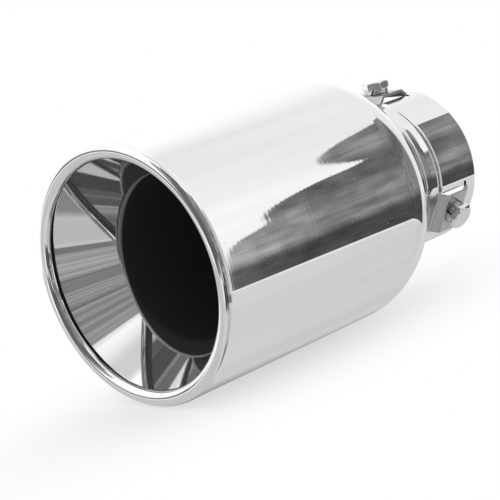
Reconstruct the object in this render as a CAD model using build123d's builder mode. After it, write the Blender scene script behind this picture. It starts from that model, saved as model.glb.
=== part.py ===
from build123d import *
import os
from math import acos, asin, cos, degrees, radians, sin, tan

os.makedirs("parts", exist_ok=True)

# Twin-wall stainless exhaust tip. Millimetres. +Y runs back along the exhaust axis, +Z is up,
# and the origin is the centre of the inlet collar's rear edge. The mouth faces -Y.

# Outer skin: one sheet from the rolled lip to the inlet collar
length = 171.5                  # mouth to the collar's rear edge
outlet_dia = 101.6              # outside of the straight body
pipe_dia = 63.5                 # tail pipe that the collar slides over
wall = 1.2                      # sheet of the skin
lip_roll = 3.15                 # outside radius of the rolled lip
shoulder_r = 28.0
shoulder_turn = 30.0
taper_turn = 15.0               # the long taper's own turn, its radius joins shoulder and neck
neck_r = 12.0
groove_flat = 2.9               # straight floor of the groove in front of the crease
groove_depth = 0.95             # below the collar's outside
step_in_r = 1.0                 # bend at the crease
step_out_r = 1.6                # bend at the collar's front edge
collar_length = 22.5            # straight part of the collar
rim_round = 0.35                # dressed rear edge of the collar

# Clamp pads: strips of the collar slit along both sides and pushed out flat
pad_turns = (0.0, 120.0, 240.0)     # from straight up, towards +X
pad_half = 8.9
pad_lift = 1.8                  # pad's face above the collar's outside
pad_dip = 0.7                   # strip's face below the groove's floor at the crease
pad_rise = 3.2                  # length of the slope from the crease up to the flat
pad_fall = 2.8                  # length of the slope from the flat down to the collar
pad_bend_r = 1.9                # outside of the bends
slit = 0.25                     # gap left on each side of a pad
slit_lead = 5.0                 # slits run on across the groove, in front of the crease
slit_stop = 6.2                 # collar left whole behind the slits
relief_r = 0.85                 # round nick at the rear end of each slit

# Clamp bolts and split lock washers
thread_dia = 6.0
thread_clear = 0.05
head_flats = 10.0
head_height = 4.0
head_bevel = 0.55
bevel_slant = 30.0
head_turns = (35.5, 32.0, 50.0)     # one corner of each head, as the bolts happened to stop
tip_bevel = 0.8
tip_clear = 0.15                # bolt tip to the tail pipe's surface
washer_clear = 0.15
washer_section = 2.1            # width and height of the spring wire
washer_split = 0.8
split_slant = 22.0
split_turns = (-66.0, -106.0, 140.0)

# Inner liner: polished funnel and the dull tube behind it
liner_wall = 1.0
liner_at = 5.4                  # front face of the liner's rim, from the mouth
liner_rim = 3.0                 # flat rim outside the funnel
funnel_half_angle = 30.6
rim_bend_r = 0.8
tube_step = 2.5                 # inside of the tube outside the skin's neck
throat_bend_r = 5.0
weld_gap = 0.05                 # rim to the inside of the skin
butt_gap = 0.1                  # tube's rear end to the inside of the skin

body_r = outlet_dia / 2
bore_r = pipe_dia / 2
collar_r = bore_r + wall
floor_r = collar_r - groove_depth
mouth = -length
step_turn = degrees(acos(1 - groove_depth / (step_in_r + step_out_r)))
crease = -collar_length - (step_in_r + step_out_r) * sin(radians(step_turn))
pad_face = collar_r + pad_lift
flat_front = crease + pad_rise
flat_rear = -slit_stop - pad_fall
bolt_at = (flat_front + flat_rear) / 2
seat = pad_face + washer_section
throat_r = floor_r - wall + tube_step


def side_plane(turn):
    """Plane through the axis: local x runs back along the axis, local y runs out to the pad."""
    t = radians(turn)
    return Plane(origin=(0, 0, 0), x_dir=(0, 1, 0), z_dir=(cos(t), 0, -sin(t)))


def out_plane(turn, height, at):
    """Plane square to a radius of the exhaust: local x runs round, local y runs back."""
    t = radians(turn)
    out = Vector(sin(t), 0, cos(t))
    return Plane(origin=out * height + Vector(0, at, 0), x_dir=(cos(t), 0, -sin(t)), z_dir=out)


# Outer skin
with BuildPart() as outer_shell:
    with BuildSketch(Plane.XY):
        with BuildLine():
            collar = Line((collar_r, 0), (collar_r, -collar_length))
            brow = JernArc(collar @ 1, collar % 1, step_out_r, -step_turn)
            inner_bend = JernArc(brow @ 1, brow % 1, step_in_r, step_turn)
            groove = Line(inner_bend @ 1, inner_bend @ 1 - (0, groove_flat))
            full_turn = shoulder_turn + taper_turn
            neck = JernArc(groove @ 1, groove % 1, neck_r, full_turn)
            shoulder_height = shoulder_r * (1 - cos(radians(shoulder_turn)))
            climb = body_r - shoulder_height - (neck @ 1).X
            taper_r = climb / (cos(radians(shoulder_turn)) - cos(radians(full_turn)))
            taper = JernArc(neck @ 1, neck % 1, taper_r, -taper_turn)
            shoulder = JernArc(taper @ 1, taper % 1, shoulder_r, -shoulder_turn)
            body = Line(shoulder @ 1, (body_r, mouth + lip_roll))
            JernArc(body @ 1, body % 1, lip_roll, -180)
            offset(amount=wall, side=Side.RIGHT)
        make_face()
    revolve(axis=Axis.Y)
    fillet(outer_shell.edges().filter_by(GeomType.CIRCLE).group_by(Axis.Y)[-1], rim_round)

    # each slit pair opens a window in the collar
    slit_front = crease - slit_lead
    for turn in pad_turns:
        with BuildSketch(side_plane(turn)):
            with Locations((slit_front, floor_r - 3 * wall)):
                Rectangle(-slit_stop - slit_front, 6 * wall, align=(Align.MIN, Align.MIN))
        extrude(amount=pad_half + slit, both=True, mode=Mode.SUBTRACT)

    # a bent strip bridges each window: sunk with the groove, raised flat, and down into the collar
    for turn in pad_turns:
        with BuildSketch(side_plane(turn)):
            with BuildLine() as strip:
                Polyline(
                    (slit_front - wall, floor_r - pad_dip + wall / 3),
                    (crease, floor_r - pad_dip),
                    (flat_front, pad_face),
                    (flat_rear, pad_face),
                    (-slit_stop + wall / 6, bore_r + wall / 3),
                )
                fillet(strip.vertices().sort_by(Axis.X)[1:-1], pad_bend_r)
                offset(amount=wall, side=Side.RIGHT)
            make_face()
        extrude(amount=pad_half, both=True)

    # round nicks where the slits end, and the tapped holes
    relief_turn = degrees(asin((pad_half + slit + relief_r) / collar_r))
    for turn in pad_turns:
        for side in (-relief_turn, relief_turn):
            with BuildSketch(out_plane(turn + side, bore_r - wall, -slit_stop - relief_r)):
                Circle(relief_r)
            extrude(amount=4 * wall, mode=Mode.SUBTRACT)
        with BuildSketch(out_plane(turn, bore_r, bolt_at)):
            Circle(thread_dia / 2 + thread_clear)
        extrude(amount=pad_lift + 2 * wall, mode=Mode.SUBTRACT)

    # the bore is left clean for the tail pipe, which stops against the groove
    with BuildSketch(Plane.XZ):
        Circle(bore_r)
    extrude(amount=collar_length, mode=Mode.SUBTRACT)
    with BuildSketch(Plane.XZ):
        Circle(floor_r - wall)
    extrude(amount=-slit_front + 2 * wall, mode=Mode.SUBTRACT)
outer_shell.part.label = "outer_shell"
export_step(outer_shell.part, "parts/outer_shell.step")

# Inner liner: its tube runs back until the narrowing skin meets it
tube_line = Axis((throat_r + liner_wall + butt_gap, mouth / 2, 0), (0, 1, 0))
tube_end = min(point.Y for point, _ in outer_shell.part.find_intersection_points(tube_line))
with BuildPart() as inner_liner:
    with BuildSketch(Plane.XY):
        with BuildLine() as funnel:
            rim_r = body_r - wall - weld_gap
            mouth_r = rim_r - liner_rim
            funnel_run = (mouth_r - throat_r) / tan(radians(funnel_half_angle))
            Polyline(
                (rim_r, mouth + liner_at),
                (mouth_r, mouth + liner_at),
                (throat_r, mouth + liner_at + funnel_run),
                (throat_r, tube_end),
            )
            fillet(funnel.vertices().group_by(Axis.Y)[0].sort_by(Axis.X)[0], rim_bend_r)
            fillet(funnel.vertices().group_by(Axis.Y)[-2], throat_bend_r)
            offset(amount=liner_wall, side=Side.RIGHT)
        make_face()
    revolve(axis=Axis.Y)
inner_liner.part.label = "inner_liner"
export_step(inner_liner.part, "parts/inner_liner.step")

# Clamp bolts: the washer face is bevelled round first, then milled to six flats
for n, (turn, corner) in enumerate(zip(pad_turns, head_turns), start=1):
    with BuildPart() as clamp_bolt:
        under_head = out_plane(turn, seat, bolt_at)
        with BuildSketch(under_head):
            Circle(head_flats / 2 / cos(radians(30)))
        extrude(amount=head_height)
        crown = clamp_bolt.faces().filter_by(GeomType.PLANE).sort_by_distance(under_head.origin)[-1]
        chamfer(crown.edges(), length=head_bevel, length2=head_bevel / tan(radians(bevel_slant)))
        with BuildSketch(under_head):
            RegularPolygon(head_flats / 2, 6, major_radius=False, rotation=corner)
        extrude(amount=head_height, mode=Mode.INTERSECT)
        with BuildSketch(under_head):
            Circle(thread_dia / 2)
        extrude(amount=bore_r + tip_clear - seat)
        tip = clamp_bolt.faces().filter_by(GeomType.PLANE).sort_by_distance((0, bolt_at, 0))[0]
        chamfer(tip.edges(), length=tip_bevel)
    clamp_bolt.part.label = f"clamp_bolt_{n}"
    export_step(clamp_bolt.part, f"parts/clamp_bolt_{n}.step")

# Split lock washers
for n, (turn, at) in enumerate(zip(pad_turns, split_turns), start=1):
    with BuildPart() as lock_washer:
        on_pad = out_plane(turn, pad_face, bolt_at)
        inner_r = thread_dia / 2 + washer_clear
        with BuildSketch(on_pad):
            Circle(inner_r + washer_section)
            Circle(inner_r, mode=Mode.SUBTRACT)
        extrude(amount=washer_section)
        cut = on_pad.location * Rot(0, 0, at) * Pos(inner_r + washer_section / 2, 0, washer_section / 2)
        with Locations(cut * Rot(split_slant, 0, 0)):
            Box(washer_section * 2, washer_split, washer_section * 3, mode=Mode.SUBTRACT)
    lock_washer.part.label = f"lock_washer_{n}"
    export_step(lock_washer.part, f"parts/lock_washer_{n}.step")
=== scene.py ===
import bpy
import numpy as np
from mathutils import Matrix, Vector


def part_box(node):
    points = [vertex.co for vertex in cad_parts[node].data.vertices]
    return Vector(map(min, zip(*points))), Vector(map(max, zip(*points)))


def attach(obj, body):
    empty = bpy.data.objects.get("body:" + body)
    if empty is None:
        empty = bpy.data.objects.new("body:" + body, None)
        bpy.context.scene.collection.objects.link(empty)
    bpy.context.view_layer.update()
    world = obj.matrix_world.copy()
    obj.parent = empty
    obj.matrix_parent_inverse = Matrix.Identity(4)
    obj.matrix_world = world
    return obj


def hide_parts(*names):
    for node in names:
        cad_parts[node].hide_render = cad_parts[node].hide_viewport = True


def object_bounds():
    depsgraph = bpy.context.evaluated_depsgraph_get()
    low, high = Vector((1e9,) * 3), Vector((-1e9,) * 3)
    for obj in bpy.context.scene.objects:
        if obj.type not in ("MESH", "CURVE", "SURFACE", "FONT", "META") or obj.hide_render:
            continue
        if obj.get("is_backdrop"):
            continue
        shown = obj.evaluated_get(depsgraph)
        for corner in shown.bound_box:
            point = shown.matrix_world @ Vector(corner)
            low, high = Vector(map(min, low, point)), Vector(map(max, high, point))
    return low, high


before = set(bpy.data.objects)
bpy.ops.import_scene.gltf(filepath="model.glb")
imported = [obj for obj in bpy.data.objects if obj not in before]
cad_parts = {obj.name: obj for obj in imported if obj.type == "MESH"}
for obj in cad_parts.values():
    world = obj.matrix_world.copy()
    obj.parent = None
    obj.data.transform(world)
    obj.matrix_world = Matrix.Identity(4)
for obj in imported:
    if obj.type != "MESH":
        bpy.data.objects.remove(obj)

bl_info = {
    "name": "Exhaust tip",
    "version": (1, 0, 0),
    "blender": (4, 5, 0),
    "location": "3D View > Sidebar > Exhaust tip",
    "description": "Builds a polished twin-wall exhaust tip on its clamp collar, with its studio",
    "category": "Add Mesh",
}

# Metres. +Y runs back along the exhaust axis, +Z is up, and the origin is the centre of the collar's
# rear edge. The mouth faces -Y. A profile is drawn in a half plane through the axis, as pairs of
# distance from the axis and place along it.
MM = 0.001
WELD = 2e-7  # corners closer than this become one
TINY = 1e-9  # slack where places along the axis are compared
ALONG = np.array([0.0, 1.0, 0.0])
shell_low, shell_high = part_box("outer_shell")
TIP_LENGTH = round((shell_high.y - shell_low.y) / MM, 1)
OUTLET_RADIUS = round(shell_high.x / MM, 1)
PAD_TURNS = np.radians([0.0, 120.0, 240.0])  # from straight up, towards +X
HEAD_TURNS = np.radians([35.5, 32.0, 50.0])  # one corner of each head, as the bolts happened to stop
SPLIT_TURNS = np.radians([-66.0, -106.0, 140.0])  # gap of each lock washer
NOISE_SPAN = {"From Min": 0.3, "From Max": 0.7}  # most values of a noise texture lie between these


def linear(colour):
    """An sRGB hex colour as linear red, green and blue."""
    value = np.array([int(colour[i : i + 2], 16) for i in (1, 3, 5)]) / 255
    return tuple(np.where(value <= 0.04045, value / 12.92, ((value + 0.055) / 1.055) ** 2.4))


def size(name, text, millimetres):
    """A length that the user can change."""
    return bpy.props.FloatProperty(
        name=name, description=text, default=millimetres * MM, min=0.0, precision=5,
        subtype="DISTANCE", unit="LENGTH",
    )


def angle(name, text, degrees):
    """An angle that the user can change."""
    return bpy.props.FloatProperty(
        name=name, description=text, default=np.radians(degrees), subtype="ANGLE", unit="ROTATION"
    )


def shade(name, text, colour):
    """A colour that the user can change, from its sRGB hex value."""
    return bpy.props.FloatVectorProperty(
        name=name, description=text, default=linear(colour), size=3, min=0.0, max=1.0, subtype="COLOR"
    )


class TipSkinSizes(bpy.types.PropertyGroup):
    length: size("Length", "Mouth to the collar's rear edge", TIP_LENGTH)
    outlet_radius: size("Outlet radius", "Outside of the straight body", OUTLET_RADIUS)
    pipe_radius: size("Pipe radius", "Bore of the collar", 31.75)
    wall: size("Wall", "Sheet of the skin", 1.2)
    lip_roll: size("Lip roll", "Outside radius of the rolled lip", 3.15)
    shoulder: size("Shoulder radius", "Bend from the body into the taper", 28)
    shoulder_turn: angle("Shoulder turn", "Angle that the shoulder bends through", 30)
    taper_turn: angle("Taper turn", "Angle that the long taper bends through", 15)
    neck: size("Neck radius", "Bend from the taper into the groove", 12)
    groove_floor: size("Groove floor", "Floor of the groove in front of the crease", 2.9)
    groove_lean: angle("Groove lean", "How far the groove's floor leans towards the mouth, as rolled", 2.6)
    groove_depth: size("Groove depth", "How far the groove lies below the collar", 0.95)
    step_in: size("Crease bend", "Bend at the crease", 1.0)
    step_out: size("Collar edge bend", "Bend at the collar's front edge", 1.6)
    collar: size("Collar length", "Straight part of the collar", 22.5)
    rim_round: size("Rim round", "Dressed rear edge of the collar", 0.35)


class TipPadSizes(bpy.types.PropertyGroup):
    half_width: size("Half width", "From a pad's middle to its side", 8.9)
    slit: size("Slit", "Gap left on each side of a pad", 0.25)
    slit_lead: size("Slit lead", "How far the slits run on in front of the crease", 5.0)
    slit_stop: size("Slit stop", "Collar left whole behind the slits", 6.2)
    nick: size("Nick radius", "Round nick at the rear end of each slit", 0.85)
    lift: size("Lift", "The pad's face above the collar's outside", 1.8)
    dip: size("Dip", "The strip's face below the groove's floor at the crease", 0.7)
    rise: size("Rise", "Slope from the crease up to the flat", 3.2)
    fall: size("Fall", "Slope from the flat down to the collar", 2.8)
    bend: size("Bend", "Outside radius of the strip's bends", 1.9)


class TipLinerSizes(bpy.types.PropertyGroup):
    wall: size("Wall", "Sheet of the liner", 1.0)
    depth: size("Depth", "The rim's front face behind the mouth", 5.4)
    rim: size("Rim", "Flat rim outside the funnel", 3.0)
    gap: size("Gap", "Rim to the inside of the skin", 0.05)
    half_angle: angle("Half angle", "Slope of the funnel", 30.6)
    rim_bend: size("Rim bend", "Bend from the rim into the funnel", 0.8)
    throat: size("Throat radius", "Inside of the tube", 33.3)
    throat_bend: size("Throat bend", "Bend from the funnel into the tube", 5.0)
    tube_end: size("Tube end", "The tube's rear end in front of the collar's rear edge", 36.8)
    # painted shade: where the black coat that darkens the deep inside begins
    painted_shade_coat: size("Coat edge", "Where the black coat begins on the axis, behind the mouth", 25.2)
    polish: size("Polish end", "Where the funnel's polish ends, behind the mouth", 27.5)


class TipBoltSizes(bpy.types.PropertyGroup):
    flats: size("Flats", "Across the head's flats", 10)
    head: size("Head", "Height of the head", 3.2)
    crown: size("Crown radius", "Flat top of the head inside its bevel", 4.45)
    edge: size("Edge", "Broken edges of head and washer", 0.3)
    thread: size("Thread", "Outside diameter of the thread", 6)
    pitch: size("Pitch", "Along the bolt from one thread to the next", 1)
    tip: size("Tip", "From the axis of the exhaust to the bolt's end", 31.9)
    washer: size("Washer wire", "Width and height of the lock washer's wire", 2.1)
    clear: size("Washer clearance", "Thread to the lock washer", 0.15)
    split: size("Split", "Gap in the lock washer", 0.8)
    slant: angle("Split slant", "Lean of the gap", 22)


class TipFinishes(bpy.types.PropertyGroup):
    polished: shade("Polished steel", "Mirror-polished stainless sheet", "#F2F2F2")
    pads: shade("Pad steel", "Satin stainless of the pressed clamp pads", "#BEBEBE")
    inside: shade("Inside steel", "Mill-finish stainless on the hidden side", "#6E6C69")
    throat: shade("Throat", "Satin steel at the funnel's rear bend", "#9E9E9E")
    # painted shade: the dull black that darkens the tube's inside
    tube: shade("Tube", "Dull black coat inside the tube", "#303031")
    bolt: shade("Bolt zinc", "Bright zinc plate on the bolts", "#EAEAE8")
    washer: shade("Washer zinc", "Zinc plate on the lock washers", "#D6D6D4")


class TipStudio(bpy.types.PropertyGroup):
    floor: shade("Floor", "Pale floor", "#F4F4F4")
    lens: bpy.props.FloatProperty(
        name="Lens", description="Focal length of the camera", default=129.27, unit="CAMERA"
    )
    camera_at: bpy.props.FloatVectorProperty(
        name="Camera place", description="Where the camera stands", default=(0.4951, -0.5899, 0.1308),
        subtype="TRANSLATION", unit="LENGTH",
    )


GROUPS = {
    "tip_skin": TipSkinSizes,
    "tip_pads": TipPadSizes,
    "tip_liner": TipLinerSizes,
    "tip_bolt": TipBoltSizes,
    "tip_finish": TipFinishes,
    "tip_studio": TipStudio,
}


def tangent_line(start, heading, legs, spacing=4.8 * MM, step=np.radians(3.0)):
    """Points and normals of a line of straight runs and arcs, each leg tangent to the last one.

    A leg is (length, 0) for a run or (radius, turn) for an arc, turn positive to the left. On an arc
    the place is centre + radius * (cos, sin) of an angle that grows evenly, and the normal is the
    heading turned a quarter to the left.
    """
    place, toward = np.array(start, float), float(heading)
    points, normals = [], []
    for reach, turn in legs:
        if turn == 0.0:
            share = np.linspace(0.0, 1.0, max(2, int(reach / spacing) + 2))
            face = np.full_like(share, toward)
            line = place + share[:, None] * reach * np.array([np.cos(toward), np.sin(toward)])
        else:
            share = np.linspace(0.0, 1.0, max(4, int(abs(turn) / step) + 2))
            side = np.sign(turn)
            centre = place + side * reach * np.array([-np.sin(toward), np.cos(toward)])
            face = toward + share * turn
            line = centre + side * reach * np.stack([np.sin(face), -np.cos(face)], 1)
        points.append(line)
        normals.append(np.stack([-np.sin(face), np.cos(face)], 1))
        place, toward = line[-1], face[-1]
    return np.concatenate(points), np.concatenate(normals)


def turned(line, normal, turns):
    """A profile swept round the axis: row i, column j stands at profile point i, turned by turns[i, j].

    Turning t from straight up towards +X puts a point r from the axis at (r sin t, y, r cos t).
    """
    wheel = np.stack([np.sin(turns), np.zeros_like(turns), np.cos(turns)], -1)
    place = line[:, :1, None] * wheel + line[:, 1:, None] * ALONG
    face = normal[:, :1, None] * wheel + normal[:, 1:, None] * ALONG
    return place, face


def outward(turn):
    """Unit vectors at a turn from straight up towards +X: straight out from the axis, and on round it."""
    return np.array([np.sin(turn), 0.0, np.cos(turn)]), np.array([np.cos(turn), 0.0, -np.sin(turn)])


def joined(name, patches, materials):
    """One mesh from grids of points, welded where their edges meet, with each grid's own exact normals.

    A patch is (points, normals, material index). Every square of a grid faces the way of its normals.
    Corners that fall together are welded, which leaves a triangle where a square has lost one corner.
    """
    corners, faces_normal, slots = [], [], []
    for place, face, slot in patches:
        face = np.broadcast_to(face, place.shape)
        quad = [(0, 0), (1, 0), (1, 1), (0, 1)]
        rows, columns = place.shape[0] - 1, place.shape[1] - 1
        square = np.stack([place[i : i + rows, j : j + columns] for i, j in quad], 2).reshape(-1, 4, 3)
        way = np.stack([face[i : i + rows, j : j + columns] for i, j in quad], 2).reshape(-1, 4, 3)
        flat = np.cross(square[:, 2] - square[:, 0], square[:, 3] - square[:, 1])
        turn = np.sum(flat * way.sum(1), 1) < 0
        square[turn], way[turn] = square[turn][:, ::-1], way[turn][:, ::-1]
        corners.append(square)
        faces_normal.append(way)
        slots.append(np.full(len(square), slot))
    corners, way, slots = map(np.concatenate, (corners, faces_normal, slots))
    keys = np.round(corners.reshape(-1, 3) / WELD).astype(np.int64)
    _, first, index = np.unique(keys, axis=0, return_index=True, return_inverse=True)
    index = index.reshape(-1, 4)
    keep = index != np.roll(index, 1, axis=1)
    whole = keep.sum(1) >= 3
    index, keep, way, slots = index[whole], keep[whole], way[whole], slots[whole]
    count = keep.sum(1)
    ends = np.cumsum(count)
    loops = np.split(index[keep], ends[:-1])
    mesh = bpy.data.meshes.new(name)
    mesh.from_pydata(corners.reshape(-1, 3)[first], [], [list(map(int, loop)) for loop in loops])
    mesh.polygons.foreach_set("material_index", slots.astype(np.int32))
    mesh.shade_smooth()
    mesh.normals_split_custom_set(way[keep].astype(np.float32))
    for material in materials:
        mesh.materials.append(material)
    piece = bpy.data.objects.new(name, mesh)
    bpy.context.scene.collection.objects.link(piece)
    return piece


def node(tree, kind, inputs=None, **settings):
    """Adds a shader node with its settings, and fills its inputs: values, outputs or nodes (first output)."""
    made = tree.nodes.new("ShaderNode" + kind)
    for key, value in settings.items():
        setattr(made, key, value)
    for key, value in (inputs or {}).items():
        if isinstance(value, bpy.types.Node):
            value = value.outputs[0]
        if isinstance(value, bpy.types.NodeSocket):
            tree.links.new(value, made.inputs[key])
        else:
            made.inputs[key].default_value = value
    return made


def new_material(name):
    """An empty node material, its tree, and the Object coordinates that its patterns are drawn on."""
    material = bpy.data.materials.new(name)
    material.use_nodes = True
    tree = material.node_tree
    tree.nodes.clear()
    return material, tree, node(tree, "TexCoord").outputs["Object"]


def skin_line(s, pad):
    """The skin's outside from the collar's rear edge to the rolled lip's end, as one tangent line.

    Returns points, outward normals, and the places along the axis of the crease and of the slits' front
    ends. The taper's radius is the one that lets it meet both the neck and the shoulder: the height that
    they leave for it, divided by the difference of the cosines of its two end slopes.
    """
    collar_r = s.pipe_radius + s.wall
    step_turn = np.arccos(1 - s.groove_depth / (s.step_in + s.step_out))
    full = s.shoulder_turn + s.taper_turn
    floor_r = collar_r - s.groove_depth
    lean = s.groove_lean
    neck_top = floor_r - s.groove_floor * np.sin(lean) + s.neck * (np.cos(lean) - np.cos(full))
    climb = s.outlet_radius - s.shoulder * (1 - np.cos(s.shoulder_turn)) - neck_top
    taper = climb / (np.cos(s.shoulder_turn) - np.cos(full))
    crease = -s.collar - (s.step_in + s.step_out) * np.sin(step_turn)
    front = crease - pad.slit_lead
    run_back = (
        s.groove_floor * np.cos(lean)
        + s.neck * (np.sin(full) + np.sin(lean))
        + taper * (np.sin(full) - np.sin(s.shoulder_turn))
        + s.shoulder * np.sin(s.shoulder_turn)
    )
    body = s.length - s.lip_roll + crease - run_back
    legs = [
        (s.collar - s.rim_round, 0.0),
        (s.step_out, -step_turn),
        (s.step_in, step_turn - lean),
        (s.groove_floor, 0.0),
        (s.neck, full + lean),
        (taper, -s.taper_turn),
        (s.shoulder, -s.shoulder_turn),
        (body, 0.0),
        (s.lip_roll, -np.pi),
    ]
    line, normal = tangent_line((collar_r, -s.rim_round), -np.pi / 2, legs)
    return line, normal, crease, front


def cut_at(line, normal, places):
    """Adds rows to a profile where it passes the given places along the axis, by straight interpolation."""
    for place in places:
        after = int(np.argmax(line[:, 1] < place - TINY))
        before = after - 1
        if abs(line[before, 1] - place) < 10 * TINY:
            continue
        share = (place - line[before, 1]) / (line[after, 1] - line[before, 1])
        point = line[before] + share * (line[after] - line[before])
        way = normal[before] + share * (normal[after] - normal[before])
        line = np.insert(line, after, point, axis=0)
        normal = np.insert(normal, after, way / np.linalg.norm(way), axis=0)
    return line, normal


class TIP_OT_outer_skin(bpy.types.Operator):
    """Revolves the skin from its rolled lip to the collar, leaving a window at each clamp pad"""

    bl_idname = "tip.outer_skin"
    bl_label = "Outer skin"

    def execute(self, context):
        s, pad = context.scene.tip_skin, context.scene.tip_pads
        line, normal, _, front = skin_line(s, pad)
        stop, edge = -pad.slit_stop, pad.half_width + pad.slit
        nick_low, nick_mid = stop - 2 * pad.nick, stop - pad.nick
        nick_rows = nick_mid + pad.nick * np.cos(np.linspace(0, np.pi, 13))[:-1]
        past_nick = nick_low - 0.01 * MM
        line, normal = cut_at(line, normal, [front, stop, *nick_rows, nick_low, past_nick])
        inner = line - s.wall * normal

        # A window lies between planes beside its pad's middle, so its edges turn by asin(offset / radius).
        # A nick widens it by its radius and half its chord there, sqrt(nick^2 - (y - middle)^2).
        y = line[:, 1]
        chord = np.sqrt(np.clip(pad.nick**2 - (y - nick_mid) ** 2, 0.0, None))
        at_nick = (y < stop + TINY) & (y > nick_low - TINY)
        offset = np.where(at_nick, edge + pad.nick + chord, edge)
        offset = np.where(y > stop, edge + pad.nick, offset)
        window, sheet = np.linspace(-1, 1, 15), np.linspace(0, 1, 41)[1:-1]
        third = len(window) + len(sheet)

        def columns(radius, offset):
            """Turns of every row: evenly across each window, then evenly across the sheet to the next."""
            half = np.arcsin(offset / radius)[:, None]
            between = half + sheet * (2 * np.pi / 3 - 2 * half)
            once = np.concatenate([half * window, between], 1)
            return np.concatenate([once + turn for turn in PAD_TURNS] + [once[:, :1] + 2 * np.pi], 1)

        # ahead of the windows the columns run straight on
        first = int(np.argmax(y < front))
        radius, in_radius = line[:, 0].copy(), inner[:, 0].copy()
        radius[first:], in_radius[first:] = radius[first - 1], in_radius[first - 1]
        outside, out_way = turned(line, normal, columns(radius, offset))
        inside, in_way = turned(inner, -normal, columns(in_radius, offset))
        rear, ahead = y >= stop - TINY, y <= front + TINY
        slit = (y <= stop + TINY) & (y >= front - TINY)
        patches = []
        for place, way, slot in ((outside, out_way, 0), (inside, in_way, 1)):
            patches += [(place[rear], way[rear], slot), (place[ahead], way[ahead], slot)]
            for k in range(3):
                low, high = k * third + len(window) - 1, (k + 1) * third
                patches.append((place[slit, low : high + 1], way[slit, low : high + 1], slot))

        # cut edges of the windows, square to the sheet
        ends = ((np.argmax(slit), -ALONG), (len(y) - 1 - np.argmax(slit[::-1]), ALONG))
        for k, turn in enumerate(PAD_TURNS):
            _, aside = outward(turn)
            low, high = k * third, k * third + len(window) - 1
            for column, way in ((low, aside), (high, -aside)):
                patches.append((np.stack([outside[slit, column], inside[slit, column]], 1), way, 0))
            for row, way in ends:
                both = outside[row, low : high + 1], inside[row, low : high + 1]
                patches.append((np.stack(both, 0), way, 0))

        # the lip's end, and the collar's rear edge, dressed round
        patches.append((np.stack([outside[-1], inside[-1]], 0), ALONG, 1))
        quarter, flat = (s.rim_round, np.pi / 2), (s.wall - 2 * s.rim_round, 0.0)
        rim, rim_way = tangent_line(line[0], np.pi / 2, [quarter, flat, quarter], step=np.radians(12))
        rim_turns = columns(rim[:, 0], np.full(len(rim), offset[0]))
        patches.append((*turned(rim, -rim_way, rim_turns), 0))
        piece = joined("outer_skin", patches, [polished_skin(), mill_inside()])
        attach(piece, "root")
        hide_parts("outer_shell")
        return {"FINISHED"}


class TIP_OT_clamp_pads(bpy.types.Operator):
    """Bends the three clamp pads: strips of the collar raised flat between their slits"""

    bl_idname = "tip.clamp_pads"
    bl_label = "Clamp pads"

    def execute(self, context):
        s, pad = context.scene.tip_skin, context.scene.tip_pads
        _, _, crease, front = skin_line(s, pad)
        collar_r = s.pipe_radius + s.wall
        floor_r, face_r = collar_r - s.groove_depth, collar_r + pad.lift
        stop = -pad.slit_stop
        corners = np.array([
            (s.pipe_radius + s.wall / 3, stop + s.wall / 6),
            (face_r, stop - pad.fall),
            (face_r, crease + pad.rise),
            (floor_r - pad.dip, crease),
            (floor_r - pad.dip + s.wall / 3, front - s.wall),
        ])

        # a bend of radius r takes r * tan(turn / 2) off both straight runs that it joins
        steps = np.diff(corners, axis=0)
        heading = np.arctan2(steps[:, 1], steps[:, 0])
        bends = np.diff(heading)
        trim = np.concatenate([[0.0], pad.bend * np.abs(np.tan(bends / 2)), [0.0]])
        runs = np.linalg.norm(steps, axis=1) - (trim[:-1] + trim[1:])
        legs = [(runs[0], 0.0)]
        for bend, run in zip(bends, runs[1:]):
            legs += [(pad.bend, bend), (run, 0.0)]
        line, normal = tangent_line(corners[0], heading[0], legs, step=np.radians(6))
        under = line - s.wall * normal

        # the strip's section, carried straight across its width at each pad
        width = np.linspace(-1, 1, 9)[None, :, None] * pad.half_width
        patches = []
        for turn in PAD_TURNS:
            out, aside = outward(turn)
            top, bottom = (
                edge[:, :1, None] * out + edge[:, 1:, None] * ALONG + width * aside for edge in (line, under)
            )
            way = normal[:, :1, None] * out + normal[:, 1:, None] * ALONG
            patches += [(top, way, 0), (bottom, -way, 1)]
            for end, face in ((0, ALONG), (-1, -ALONG)):
                patches.append((np.stack([top[end], bottom[end]], 0), face, 0))
            for side, face in ((0, -aside), (-1, aside)):
                patches.append((np.stack([top[:, side], bottom[:, side]], 1), face, 0))
        piece = joined("clamp_pads", patches, [satin_pads(), mill_inside()])
        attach(piece, "root")
        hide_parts("outer_shell")
        return {"FINISHED"}


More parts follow.
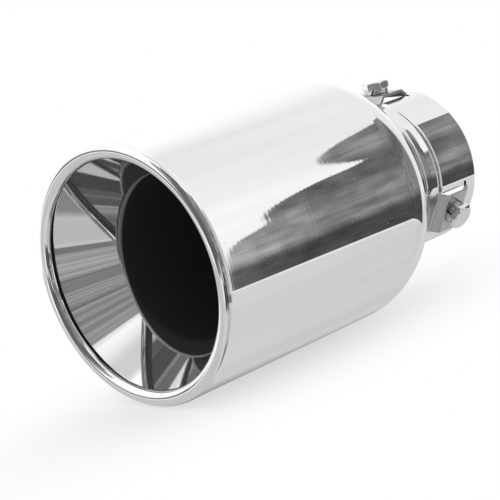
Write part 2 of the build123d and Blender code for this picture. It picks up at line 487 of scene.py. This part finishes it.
class TIP_OT_inner_liner(bpy.types.Operator):
    """Revolves the inner liner: a flat rim, the polished funnel and the tube behind it, whose dull black coat
    is painted shade
    """

    bl_idname = "tip.inner_liner"
    bl_label = "Inner liner"

    def execute(self, context):
        s, liner = context.scene.tip_skin, context.scene.tip_liner
        rim_r = s.outlet_radius - s.wall - liner.gap
        slope = liner.half_angle
        rim_turn = np.pi / 2 - slope
        # a bend of radius r takes r * tan(turn / 2) off both straight runs that it joins
        rim_trim, throat_trim = liner.rim_bend * np.tan(rim_turn / 2), liner.throat_bend * np.tan(slope / 2)
        mouth_r = rim_r - liner.rim
        funnel = (mouth_r - liner.throat) / np.sin(slope)
        front = liner.depth - s.length
        corner = front + (mouth_r - liner.throat) / np.tan(slope)
        legs = [
            (liner.rim - rim_trim, 0.0),
            (liner.rim_bend, -rim_turn),
            (funnel - rim_trim - throat_trim, 0.0),
            (liner.throat_bend, -slope),
            (-liner.tube_end - corner - throat_trim, 0.0),
        ]
        line, normal = tangent_line((rim_r, front), np.pi, legs)
        turns = np.tile(np.linspace(0, 2 * np.pi, 193), (len(line), 1))
        inside, in_way = turned(line, normal, turns)
        outside, out_way = turned(line - liner.wall * normal, -normal, turns)
        _, rim_way = turned(line[:1], np.array([[1.0, 0.0]]), turns[:1])
        patches = [
            (inside, in_way, 0),
            (outside, out_way, 1),
            (np.stack([inside[0], outside[0]], 0), rim_way, 1),
            (np.stack([inside[-1], outside[-1]], 0), ALONG, 1),
        ]
        piece = joined("funnel_liner", patches, [polished_liner(), mill_inside()])
        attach(piece, "root")
        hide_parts("inner_liner")
        return {"FINISHED"}


def polished_skin():
    """Mirror-polished stainless sheet: it shows the studio sharply, with a trace of how it was buffed.

    The buffing wheel ran round the tip, so it left very shallow ridges square to the axis, 1.3 mm apart,
    which make the edges of long reflections ragged. The sheet wanders a little from a true cylinder over
    20 to 30 mm, and handling has left a few specks.
    """
    material, tree, place = new_material("mirror_polished_stainless")
    finish = bpy.context.scene.tip_finish
    # squeezed along the axis: 1 unit is 1.3 mm there and 60 mm round the tip
    squeezed = node(tree, "Mapping", {"Vector": place, "Scale": (16.0, 770.0, 16.0)})
    ridges = node(tree, "TexNoise", {"Vector": squeezed, "Scale": 1.0, "Detail": 2.0, "Roughness": 0.6})
    # 42 to the metre: waves 24 mm long
    wander = node(tree, "TexNoise", {"Vector": place, "Scale": 42.0, "Detail": 1.0})
    # strength times distance is the height: 0.012 mm for the waves, 0.0022 mm for the ridges
    low = node(tree, "Bump", {"Height": wander, "Strength": 0.012, "Distance": 1.0 * MM})
    bump = node(tree, "Bump", {"Height": ridges, "Strength": 1.0, "Distance": 0.0022 * MM, "Normal": low})
    # specks 0.3 to 0.6 mm across in cells of 6 mm, a little larger than life so that they show
    spots = node(tree, "TexVoronoi", {"Vector": place, "Scale": 170.0, "Randomness": 1.0})
    speck = node(tree, "MapRange", {"Value": spots, "From Min": 0.05, "From Max": 0.03})
    rough = node(tree, "MapRange", {"Value": speck, "To Min": 0.025, "To Max": 0.3})
    steel = node(
        tree, "BsdfPrincipled",
        {"Base Color": (*finish.polished, 1), "Metallic": 1.0, "Roughness": rough, "Normal": bump},
    )
    node(tree, "OutputMaterial", {"Surface": steel})
    return material


def satin_pads():
    """Stainless strip as the press left it: satin, with the grain of the sheet across the bends.

    The eye sees an even mid grey that only hints at what stands around it, with faint lines 0.5 mm apart.
    """
    material, tree, place = new_material("satin_pressed_stainless")
    finish = bpy.context.scene.tip_finish
    # 1 unit is 0.5 mm along the exhaust and 3.3 mm across the strip
    grain = node(tree, "Mapping", {"Vector": place, "Scale": (300.0, 2000.0, 300.0)})
    lines = node(tree, "TexNoise", {"Vector": grain, "Scale": 1.0, "Detail": 3.0})
    tint = node(tree, "MapRange", {"Value": lines, **NOISE_SPAN, "To Min": 0.93, "To Max": 1.06})
    colour = node(tree, "VectorMath", {0: finish.pads, "Scale": tint}, operation="SCALE")
    rough = node(tree, "MapRange", {"Value": lines, "To Min": 0.2, "To Max": 0.36})
    bump = node(tree, "Bump", {"Height": lines, "Strength": 0.25, "Distance": 0.01 * MM})
    steel = node(
        tree, "BsdfPrincipled",
        {"Base Color": colour, "Metallic": 1.0, "Roughness": rough, "Normal": bump},
    )
    node(tree, "OutputMaterial", {"Surface": steel})
    return material


def mill_inside():
    """Stainless sheet as rolled, on the sides that nobody polished: grey and softly streaked."""
    if "mill_finish_stainless" in bpy.data.materials:
        return bpy.data.materials["mill_finish_stainless"]
    material, tree, place = new_material("mill_finish_stainless")
    colour = bpy.context.scene.tip_finish.inside
    # clouds about 8 mm across
    cloud = node(tree, "TexNoise", {"Vector": place, "Scale": 120.0, "Detail": 3.0})
    rough = node(tree, "MapRange", {"Value": cloud, "To Min": 0.35, "To Max": 0.55})
    steel = node(tree, "BsdfPrincipled", {"Base Color": (*colour, 1), "Metallic": 1.0, "Roughness": rough})
    node(tree, "OutputMaterial", {"Surface": steel})
    return material


def polished_liner():
    """Stainless liner: polished in the funnel, satin at the throat's bend, with painted shade behind it as a
    dull black coat.

    The eye sees the room and the funnel's own far side bent round it. A thin haze scatters one part in 25
    of the light, so the places that show mirror in mirror stay dark grey and not black. The black coat is
    painted shade: it darkens the tube and the funnel's rear where the deep inside lies in shade. Its edge
    lies in a plane that leans to +X and down, and it fades in over 1.2 mm.
    """
    material, tree, place = new_material("polished_funnel_painted_shade_tube")
    scene = bpy.context.scene
    finish, liner, mouth = scene.tip_finish, scene.tip_liner, -scene.tip_skin.length
    # place along the tip, with the lean of the painted shade's edge to +X and down
    across = node(tree, "VectorMath", {0: place, 1: (0.108, 1.0, -0.097)}, operation="DOT_PRODUCT")
    edge = mouth + liner.painted_shade_coat
    # painted shade: the black coat's share, which darkens the deep inside where it lies in shade
    painted_shade_coat = node(
        tree, "MapRange",
        {"Value": across.outputs["Value"], "From Min": edge - 0.9 * MM, "From Max": edge + 0.3 * MM},
    )
    along = node(tree, "SeparateXYZ", {0: place})
    bend = mouth + liner.polish
    satin = node(
        tree, "MapRange",
        {"Value": along.outputs["Y"], "From Min": bend - 0.3 * MM, "From Max": bend + 0.9 * MM},
    )
    bright = node(tree, "Mix", {0: satin, 6: (*finish.polished, 1), 7: (*finish.throat, 1)}, data_type="RGBA")
    # painted shade: the dull black mixed into the colour by the coat's share
    tint = node(tree, "Mix", {0: painted_shade_coat, 6: bright.outputs[2], 7: (*finish.tube, 1)}, data_type="RGBA")
    bare = node(tree, "MapRange", {"Value": satin, "To Min": 0.96, "To Max": 0.25})
    metal = node(tree, "MapRange", {"Value": painted_shade_coat, "To Min": bare, "To Max": 0.0})
    plain = node(tree, "MapRange", {"Value": satin, "To Min": 0.03, "To Max": 0.4})
    rough = node(tree, "MapRange", {"Value": painted_shade_coat, "To Min": plain, "To Max": 0.65})
    gloss = node(tree, "MapRange", {"Value": painted_shade_coat, "To Min": 0.5, "To Max": 0.1})
    # ridges from spinning the funnel, 1.5 mm apart and 0.0006 mm high, square to the axis
    squeezed = node(tree, "Mapping", {"Vector": place, "Scale": (12.0, 660.0, 12.0)})
    ridges = node(tree, "TexNoise", {"Vector": squeezed, "Scale": 1.0, "Detail": 2.0})
    bump = node(tree, "Bump", {"Height": ridges, "Strength": 1.0, "Distance": 0.0006 * MM})
    steel = node(
        tree, "BsdfPrincipled",
        {
            "Base Color": tint.outputs[2], "Metallic": metal, "Roughness": rough,
            "Specular IOR Level": gloss, "Normal": bump,
        },
    )
    node(tree, "OutputMaterial", {"Surface": steel})
    return material


def plated(name, colour, roughness):
    """Zinc plate on steel: softer than the polished sheet, with the faint mottle of its crystals."""
    material, tree, place = new_material(name)
    # spots about 1.1 mm across
    mottle = node(tree, "TexNoise", {"Vector": place, "Scale": 900.0, "Detail": 2.0})
    rough = node(tree, "MapRange", {"Value": mottle, "To Min": roughness * 0.8, "To Max": roughness * 1.2})
    steel = node(tree, "BsdfPrincipled", {"Base Color": (*colour, 1), "Metallic": 1.0, "Roughness": rough})
    node(tree, "OutputMaterial", {"Surface": steel})
    return material


def screwed(turn, at, radius, turns, height):
    """Points round a bolt: its centre line stands out from the exhaust's axis at the given turn and place.

    A point lies height up that line from the axis, and radius from the line at an angle of turns from
    the direction round the collar towards +Y. With at = 0 the same sum turns a direction.
    """
    out, aside = outward(turn)
    radius, turns, height = np.broadcast_arrays(radius, turns, height)
    place = height[..., None] * out + (radius * np.cos(turns))[..., None] * aside
    place[..., 1] += at + radius * np.sin(turns)
    return place


class TIP_OT_fasteners(bpy.types.Operator):
    """Makes the three hex bolts with their threads, and the split lock washers under their heads"""

    bl_idname = "tip.fasteners"
    bl_label = "Bolts and washers"

    def execute(self, context):
        s, pad, b = context.scene.tip_skin, context.scene.tip_pads, context.scene.tip_bolt
        finish = context.scene.tip_finish
        bright = plated("bright_zinc_plated_steel", finish.bolt, 0.12)
        dull = plated("zinc_plated_spring_steel", finish.washer, 0.2)
        _, _, crease, _ = skin_line(s, pad)
        at = (crease + pad.rise - pad.slit_stop - pad.fall) / 2
        face = s.pipe_radius + s.wall + pad.lift
        for n, (turn, corner, gap) in enumerate(zip(PAD_TURNS, HEAD_TURNS, SPLIT_TURNS), start=1):
            bolt = self.bolt(b, turn, at, face + b.washer, corner)
            washer = self.washer(b, turn, at, face, gap)
            pieces = (
                (f"hex_bolt_{n}", bolt, bright, f"clamp_bolt_{n}", "bolt_steel"),
                (f"split_washer_{n}", washer, dull, f"lock_washer_{n}", "washer_steel"),
            )
            for name, patches, material, stands_for, slot in pieces:
                piece = joined(name, patches, [material])
                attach(piece, "root")
                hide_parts(stands_for)
        return {"FINISHED"}

    def bolt(self, b, turn, at, seat, corner):
        """Head and thread as patches.

        Round the head the radius is (flats / 2) / cos(angle from the flat's middle), but no more than the
        corner's own radius, where a narrow round edge runs up. The side ends where it meets the crown's
        30 degree bevel. The thread's radius falls by its depth and rises again once per pitch, and the
        low line climbs one pitch in one turn, so r = thread / 2 - depth * |2 frac(h / pitch - turn) - 1|.
        """
        sixth, bevel, slant = np.pi / 3, np.pi / 6, np.sqrt(0.5)
        round_r = 0.985 * b.flats / 2 / np.cos(sixth / 2)  # the corners' edges are rounded off by 1.5%
        half = np.arccos(b.flats / 2 / round_r)
        top = seat + b.head
        patches = []
        for k in range(6):
            middle = corner + sixth / 2 + k * sixth
            for start, end, count, flat in ((-half, half, 9, True), (half, sixth - half, 3, False)):
                spread = np.linspace(start, end, count)
                turns = middle + spread
                toward = np.full(count, middle) if flat else turns
                reach = np.minimum(b.flats / 2 / np.cos(spread), round_r)
                meet = top - (reach - b.crown) * np.tan(bevel)
                rings = (
                    (b.thread / 2, seat), (reach - b.edge, seat), (reach, seat + b.edge), (reach, meet),
                    (b.crown, top), (0.0, top),
                )
                faces = (
                    (0.0, -1.0, turns), (slant, -slant, toward), (1.0, 0.0, toward),
                    (np.sin(bevel), np.cos(bevel), turns), (0.0, 1.0, turns),
                )
                for low, high, (across, up, way_turns) in zip(rings, rings[1:], faces):
                    place = np.stack([screwed(turn, at, r, turns, h) for r, h in (low, high)])
                    patches.append((place, screwed(turn, 0.0, across, way_turns, up), 0))
        depth, tip_bevel = 0.6 * b.pitch, 0.8 * b.pitch
        turns = np.linspace(0, 2 * np.pi, 37)
        rows = int((seat - b.tip) / b.pitch * 8) + 1  # eight to a pitch
        height = np.linspace(b.tip, seat, rows)[:, None]
        fade = np.clip((seat - height) / b.pitch, 0, 1)
        wave = np.abs(2 * np.mod(height / b.pitch - turns / (2 * np.pi), 1.0) - 1)
        radius = b.thread / 2 - depth * wave * fade - np.clip(tip_bevel - (height - b.tip), 0, None)
        patches.append((screwed(turn, at, radius, turns, height), screwed(turn, 0.0, 1.0, turns, 0.0), 0))
        end = np.stack([radius[0], 0 * radius[0]])
        patches.append((screwed(turn, at, end, turns, b.tip), screwed(turn, 0.0, 0.0, turns, -1.0), 0))
        return patches

    def washer(self, b, turn, at, face, gap):
        """A square wire with broken edges, bent to a ring that stops at a slanting gap, as patches.

        A row is one side of the wire's section, and its angles run from one side of the gap to the other.
        The gap leans, so its place round the ring is gap + (height - middle) * tan(slant) / radius.
        """
        edge, wire = b.edge, b.washer
        inner = b.thread / 2 + b.clear
        outer = inner + wire
        low = [(inner + edge, 0), (outer - edge, 0), (outer, edge), (outer, wire - edge)]
        high = [(outer - edge, wire), (inner + edge, wire), (inner, wire - edge), (inner, edge)]
        section = np.array(low + high)
        share = np.linspace(0, 1, 61)

        def ring(points):
            """Rows of angles for points of the section, each from gap to gap."""
            lean = (points[:, 1] - wire / 2) * np.tan(b.slant) / points[:, 0]
            half = b.split / 2 / np.cos(b.slant) / points[:, 0]
            start = gap + lean + half
            return start[:, None] + share * (2 * np.pi - 2 * half[:, None])

        patches = []
        for k in range(8):
            points = section[[k, (k + 1) % 8]]
            along = points[1] - points[0]
            across, up = np.array([along[1], -along[0]]) / np.linalg.norm(along)
            turns = ring(points)
            place = screwed(turn, at, points[:, :1], turns, face + points[:, 1:])
            patches.append((place, screwed(turn, 0.0, across, turns, up), 0))
        # the wire's two cut ends, as four rows of the section's points in pairs
        cap = section[[[0, 1], [7, 2], [6, 3], [5, 4]]].reshape(8, 2)
        turns = ring(cap)
        for end, sign in ((0, -1), (-1, 1)):
            place = screwed(turn, at, cap[:, 0], turns[:, end], face + cap[:, 1]).reshape(4, 2, 3)
            way = screwed(turn, 0.0, 1.0, turns[:, end] + sign * np.pi / 2, 0.0).reshape(4, 2, 3)
            patches.append((place, way, 0))
        return patches


class TIP_OT_studio(bpy.types.Operator):
    """Sets up the pale floor, the soft light tent with its dark flags, and the camera"""

    bl_idname = "tip.studio"
    bl_label = "Studio"

    def execute(self, context):
        studio = context.scene.tip_studio
        context.scene.view_settings.view_transform = "Standard"
        camera = bpy.data.objects.new("camera", bpy.data.cameras.new("camera"))
        context.scene.collection.objects.link(camera)
        # the camera's right, up and back, found by fitting the tip's outlines
        right, up, back = (0.71253, 0.67440, -0.19360), (0.0, 0.27593, 0.96118), (0.70164, -0.68487, 0.19661)
        turn = Matrix((right, up, back)).transposed().to_4x4()
        camera.matrix_world = Matrix.Translation(studio.camera_at) @ turn
        camera.data.lens, camera.data.sensor_width = studio.lens, 36.0
        camera.data.clip_start, camera.data.clip_end = 0.01, 50.0
        context.scene.camera = camera

        # a floor 3 m square, 0.1 mm under the tip
        low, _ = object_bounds()
        x, y = np.meshgrid(np.linspace(-1.5, 1.5, 5), np.linspace(-1.5, 1.5, 5), indexing="ij")
        place = np.stack([x, y, np.full_like(x, low.z - 0.1 * MM)], -1)
        floor = joined("floor", [(place, np.array([0.0, 0.0, 1.0]), 0)], [floor_finish(studio.floor)])
        floor.visible_glossy = False
        floor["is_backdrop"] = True

        world = bpy.data.worlds.new("light_tent")
        context.scene.world = world
        world.use_nodes = True
        tree = world.node_tree
        tree.nodes.clear()
        path = node(tree, "LightPath")
        tent = light_tent(tree)
        mirrored = node(
            tree, "Math",
            {0: path.outputs["Is Glossy Ray"], 1: path.outputs["Is Transmission Ray"]}, operation="MAXIMUM",
        )
        seen = node(tree, "Mix", {0: mirrored, 6: (1, 1, 1, 1), 7: tent}, data_type="RGBA")
        sky = node(tree, "Background", {"Color": seen.outputs[2], "Strength": 1.0})
        node(tree, "OutputWorld", {"Surface": sky})
        return {"FINISHED"}


def floor_finish(colour):
    """Matt white board with a painted white glow mixed in: the glow lightens the soft shadow where the tip
    lies, and the board runs into the glowing white behind it.
    """
    material, tree, place = new_material("white_board_with_painted_glow")
    board = node(tree, "BsdfDiffuse", {"Color": (*colour, 1)})
    # metres from the shadow's middle, 115 mm in front of the collar's rear edge, with lengths along the tip
    # counted at a third: the painted glow makes up 45 percent there and all of it from 75 mm, where the
    # shadow has gone
    near = node(tree, "Mapping", {"Vector": place, "Location": (0.0, 0.038, 0.0), "Scale": (1.0, 0.33, 0.0)})
    away = node(tree, "VectorMath", {0: near}, operation="LENGTH")
    far = node(
        tree, "MapRange",
        {"Value": away.outputs["Value"], "From Min": 0.0, "From Max": 0.075, "To Min": 0.45},
        interpolation_type="SMOOTHSTEP",
    )
    # painted light: a white glow, no lamp, that lightens the tip's shadow on the board
    white = node(tree, "Emission", {"Color": (1, 1, 1, 1), "Strength": 1.0})
    mixed = node(tree, "MixShader", {0: far, 1: board, 2: white})
    node(tree, "OutputMaterial", {"Surface": mixed})
    return material


# The studio as the metal sees it, by direction from the tip: degrees from straight back towards +X, and
# degrees above the horizon. Each card is (across from, to, up from, to, softness, brightness).
CARDS = (
    (-62, -40, -60, -12, 14, 0.33),  # the table's shaded far corner
    (-160, -114, -5, 8, 4, 0.19),  # gap between the tent's rear sheet and the table
    (52, 92, -22, 38, 5, 0.62),  # pale wall beside the dark flag
    (90, 163, -27, 53, 3, 0.36),  # grey room behind the camera
    (160, 200, -11, 53, 3, 0.36),  # its far end, where the table hides its foot
    (72, 136, -30.5, -24.5, 2, 0.18),  # its skirting
    (90, 142, -64, -32, 6, 0.53),  # the table's front, in the room's shade
    (90, 142, -92, -60, 10, 0.24),  # the shade right under the tip
    (100, 128, -4, 9, 4, 0.19),  # the room's lower rail
    (96, 180, 9, 53, 2, 0.30),  # its upper half, with shelves
    (100, 124, 19, 22, 2, 0.17),  # lowest shelf
    (100, 130, 32, 35, 2, 0.20),  # middle shelf
    (100, 122, 40, 43, 2, 0.22),  # top shelf
    (154, 196, -9, 27, 8, 0.12),  # dark corner
    (137, 146, 8, 37, 4, 0.05),  # dark pillar beside the window
    (145.5, 150, 9, 34, 2, 0.30),  # window
    (156, 184, 20, 53, 4, 0.15),  # dark wall past the window
    (144, 184, 38, 60, 4, 0.14),  # dark ceiling over it
    (138, 153, 0, 9, 2, 0.08),  # sill
    (141, 160, -30, -15, 3, 0.06),  # dark foot of the bench
    (130, 140, -11, 0, 3, 0.08),  # shade under the camera
    (122, 138, -34, -9, 4, 0.03),  # black cloth hung from the table's edge
    (144, 156, -13, -3, 3, 0.75),  # lit bench
)
# Smooth steps: (name, angle that it follows, from, to, level up to there, level from there on)
STEPS = (
    ("walls", "across", -12.0, -40.0, 0.905, 1.1),  # the tent's walls and roof, brighter at the left
    ("right_start", "across", 15.0, 42.0, 0.0, 1.0),  # and at the right of the flag
    ("right_end", "across", 80.0, 55.0, 0.0, 1.0),
    ("table", "across", -44.0, -10.0, 0.6, 0.69),
    ("table_edge", "across", -10.0, 12.0, -9.0, -20.5),  # its near edge drops away to the right
    ("lamp", "height", 58.0, 74.0, 1.1, 0.8),  # the softbox dims towards its top
    ("roof", "height", 70.0, 76.0, 0.0, 1.0),  # greyer roof behind the softbox
    ("roof_right", "across", 100.0, 130.0, 0.0, 1.0),
    ("roof_left", "across", -90.0, -120.0, 0.0, 1.0),
    ("hem", "height", -21.5, -20.9, 0.0, 1.0),  # the dark flag's lower edge
    ("pole", "across", 1.0, 7.0, 0.0, 1.0),  # and the one at its pole
    ("cloth", "height", -5.0, -12.0, 0.235, 0.07),  # its cloth, darkest at the hem
    ("middle_low", "height", 8.0, 14.0, 0.0, 1.0),  # and darker again across its middle
    ("middle_high", "height", 29.0, 20.0, 0.0, 1.0),
    ("leak", "tilt", 44.0, 47.5, 1.0, 1.55),  # light leaks round it at the mouth's end
)
# Edge of the big dark flag beside the tip, ragged where its cloth hangs over the frame: degrees round
# the tip's axis from +X, and degrees from straight back
FLAG_EDGE = (
    (-60, 47.62), (0, 47.52), (8, 47.12), (14, 46.0), (20, 46.0), (26, 45.5), (31, 44.1), (34.5, 42.4),
    (38, 42.9), (46, 43.7), (54, 43.5), (61, 42.4), (67, 41.0), (72, 36.0), (80, 30.0),
)


def light_tent(tree):
    """Brightness of the tent by direction: white overhead and to the left, a light table below, dark flags.

    Every direction has an angle across (atan of x over y), a height (asin of z), a tilt from straight back
    (acos of y) and a clock angle round the tip (atan of z over x). Each part of the studio is a smooth
    step in one or two of them, laid over what lies behind it.
    """
    math, ramp, mix, noise = "Math", "MapRange", "Mix", "TexNoise"
    smooth, number = {"interpolation_type": "SMOOTHSTEP"}, {"data_type": "FLOAT"}
    way = node(tree, "TexCoord").outputs["Generated"]
    parts = node(tree, "SeparateXYZ", {0: way})
    x, y, z = (parts.outputs[k] for k in "XYZ")
    angles = {}
    for name, inputs, operation in (
        ("across", {0: x, 1: y}, "ARCTAN2"), ("height", {0: z}, "ARCSINE"),
        ("tilt", {0: y}, "ARCCOSINE"), ("clock", {0: z, 1: x}, "ARCTAN2"),
    ):
        radians = node(tree, math, inputs, operation=operation)
        angles[name] = node(tree, math, {0: radians}, operation="DEGREES")
    across, height, tilt, clock = angles.values()
    step = {}
    for name, seen, start, end, low, high in STEPS:
        span = {"From Min": start, "From Max": end, "To Min": low, "To Max": high}
        step[name] = node(tree, ramp, {"Value": angles[seen], **span}, **smooth)

    # the tent's right side, the table, the softbox over the camera and the roof behind it
    right = node(tree, math, {0: step["right_start"], 1: step["right_end"]}, operation="MULTIPLY")
    drop = node(tree, math, {0: step["table_edge"], 1: height}, operation="SUBTRACT")
    below = node(tree, ramp, {"Value": drop, "From Min": 0.0, "From Max": 2.5}, **smooth)
    # the softbox's lower edge rises to the right
    lower = node(
        tree, ramp,
        {"Value": across, "From Min": 125.0, "From Max": 165.0, "To Min": 54.5, "To Max": 66.0},
    )
    above = node(tree, math, {0: height, 1: lower}, operation="SUBTRACT")
    over = node(tree, ramp, {"Value": above, "From Min": 0.0, "From Max": 3.0}, **smooth)
    beside = node(tree, math, {0: across, 1: 150.0}, operation="SUBTRACT")
    beside = node(tree, math, {0: beside}, operation="ABSOLUTE")
    near = node(tree, ramp, {"Value": beside, "From Min": 55.0, "From Max": 35.0}, **smooth)
    softbox = node(tree, math, {0: over, 1: near}, operation="MULTIPLY")
    either = node(tree, math, {0: step["roof_right"], 1: step["roof_left"]}, operation="MAXIMUM")
    roof = node(tree, math, {0: step["roof"], 1: either}, operation="MULTIPLY")
    layers = [(right, 1.04), (below, step["table"]), (softbox, step["lamp"]), (roof, 0.72)]

    # cards, each a soft-edged box across and up, with shelves and shadows as level streaks in the dark ones
    level = node(tree, "CombineXYZ", {"X": across, "Y": height, "Z": 0.0})
    shelves = node(tree, "Mapping", {"Vector": level, "Scale": (0.03, 0.55, 1), "Rotation": (0, 0, 0.02)})
    streak = node(tree, noise, {"Vector": shelves, "Scale": 1.0, "Detail": 3.0, "Roughness": 0.6})
    swing = node(tree, ramp, {"Value": streak, **NOISE_SPAN, "To Min": 0.6, "To Max": 1.38})
    for start, end, low, high, soft, grey in CARDS:
        off = node(tree, math, {0: across, 1: (start + end) / 2}, operation="SUBTRACT")
        off = node(tree, math, {0: off, 1: 180.0, 2: -180.0}, operation="WRAP")
        up = node(tree, math, {0: height, 1: (low + high) / 2}, operation="SUBTRACT")
        sides = []
        for aside, half in ((off, (end - start) / 2), (up, (high - low) / 2)):
            aside = node(tree, math, {0: aside}, operation="ABSOLUTE")
            span = {"From Min": half + soft / 2, "From Max": half - soft / 2}
            sides.append(node(tree, ramp, {"Value": aside, **span}, **smooth))
        share = node(tree, math, {0: sides[0], 1: sides[1]}, operation="MULTIPLY")
        in_room = start >= 90 and low > -60
        drawn = node(tree, math, {0: swing, 1: grey}, operation="MULTIPLY") if in_room else grey
        layers.append((share, drawn))
    tent = step["walls"]
    for share, brightness in layers:
        tent = node(tree, mix, {0: share, 2: tent, 3: brightness}, **number)
    # the tent's sheets hang in soft folds
    sheets = node(tree, noise, {"Vector": way, "Scale": 3.0, "Detail": 3.0, "Roughness": 0.5})
    drape = node(tree, ramp, {"Value": sheets, **NOISE_SPAN, "To Min": 0.93, "To Max": 1.06})
    tent = node(tree, math, {0: tent, 1: drape}, operation="MULTIPLY")

    # the big dark flag, inside its edge, its hem and its pole: the curve holds the edge as shares of the
    # clock angles' span and of 20 to 60 degrees
    first, last = FLAG_EDGE[0][0], FLAG_EDGE[-1][0]
    outline = node(
        tree, "FloatCurve",
        {"Value": node(tree, ramp, {"Value": clock, "From Min": first, "From Max": last})},
    )
    curve = outline.mapping.curves[0]
    while len(curve.points) < len(FLAG_EDGE):
        curve.points.new(0.5, 0.5)
    for point, (at, value) in zip(curve.points, FLAG_EDGE):
        point.location = ((at - first) / (last - first), (value - 20) / 40)
    outline.mapping.update()
    limit = node(tree, ramp, {"Value": outline, "To Min": 20.0, "To Max": 60.0})
    within = node(tree, math, {0: limit, 1: tilt}, operation="SUBTRACT")
    flag = node(tree, ramp, {"Value": within, "From Min": -0.05, "From Max": 0.12}, **smooth)
    for border in ("hem", "pole"):
        flag = node(tree, math, {0: flag, 1: step[border]}, operation="MULTIPLY")

    # its cloth, with level folds, upright folds and clouds where light comes through: (scale across,
    # scale up, darkest, brightest)
    middle = node(tree, math, {0: step["middle_low"], 1: step["middle_high"]}, operation="MULTIPLY")
    cloth = node(tree, mix, {0: middle, 2: step["cloth"], 3: 0.14}, **number)
    weave = node(tree, "CombineXYZ", {"X": tilt, "Y": height, "Z": 0.0})
    factors = [step["leak"]]
    for wide, tall, low, high in ((0.12, 0.45, 0.84, 1.16), (3.4, 0.05, 0.86, 1.14), (0.9, 0.12, 0.55, 1.5)):
        folds = node(tree, "Mapping", {"Vector": weave, "Scale": (wide, tall, 1.0)})
        fold = node(tree, noise, {"Vector": folds, "Scale": 1.0, "Detail": 3.0, "Roughness": 0.55})
        factors.append(node(tree, ramp, {"Value": fold, **NOISE_SPAN, "To Min": low, "To Max": high}))
    for factor in factors:
        cloth = node(tree, math, {0: cloth, 1: factor}, operation="MULTIPLY")
    return node(tree, mix, {0: flag, 2: tent, 3: cloth}, **number)


class TIP_PT_panel(bpy.types.Panel):
    """Lists the tip's pieces and its studio"""

    bl_label = "Exhaust tip"
    bl_idname = "TIP_PT_panel"
    bl_space_type = "VIEW_3D"
    bl_region_type = "UI"
    bl_category = "Exhaust tip"

    def draw(self, context):
        for operator in OPERATORS:
            self.layout.operator(operator.bl_idname)
        for name in GROUPS:
            group = getattr(context.scene, name)
            box = self.layout.box()
            for key in group.bl_rna.properties.keys():
                if key not in ("rna_type", "name"):
                    box.prop(group, key)


OPERATORS = (TIP_OT_outer_skin, TIP_OT_clamp_pads, TIP_OT_inner_liner, TIP_OT_fasteners, TIP_OT_studio)
CLASSES = (*GROUPS.values(), *OPERATORS, TIP_PT_panel)


def register():
    """Adds the classes, and their sizes and colours to the scene."""
    for cls in CLASSES:
        bpy.utils.register_class(cls)
    for name, group in GROUPS.items():
        setattr(bpy.types.Scene, name, bpy.props.PointerProperty(type=group))


def unregister():
    """Takes them away again."""
    for name in GROUPS:
        delattr(bpy.types.Scene, name)
    for cls in reversed(CLASSES):
        bpy.utils.unregister_class(cls)


def main():
    """Builds every piece and the studio in order."""
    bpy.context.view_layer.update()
    register()
    for operator in OPERATORS:
        group, name = operator.bl_idname.split(".")
        getattr(getattr(bpy.ops, group), name)()


if __name__ == "__main__":
    main()
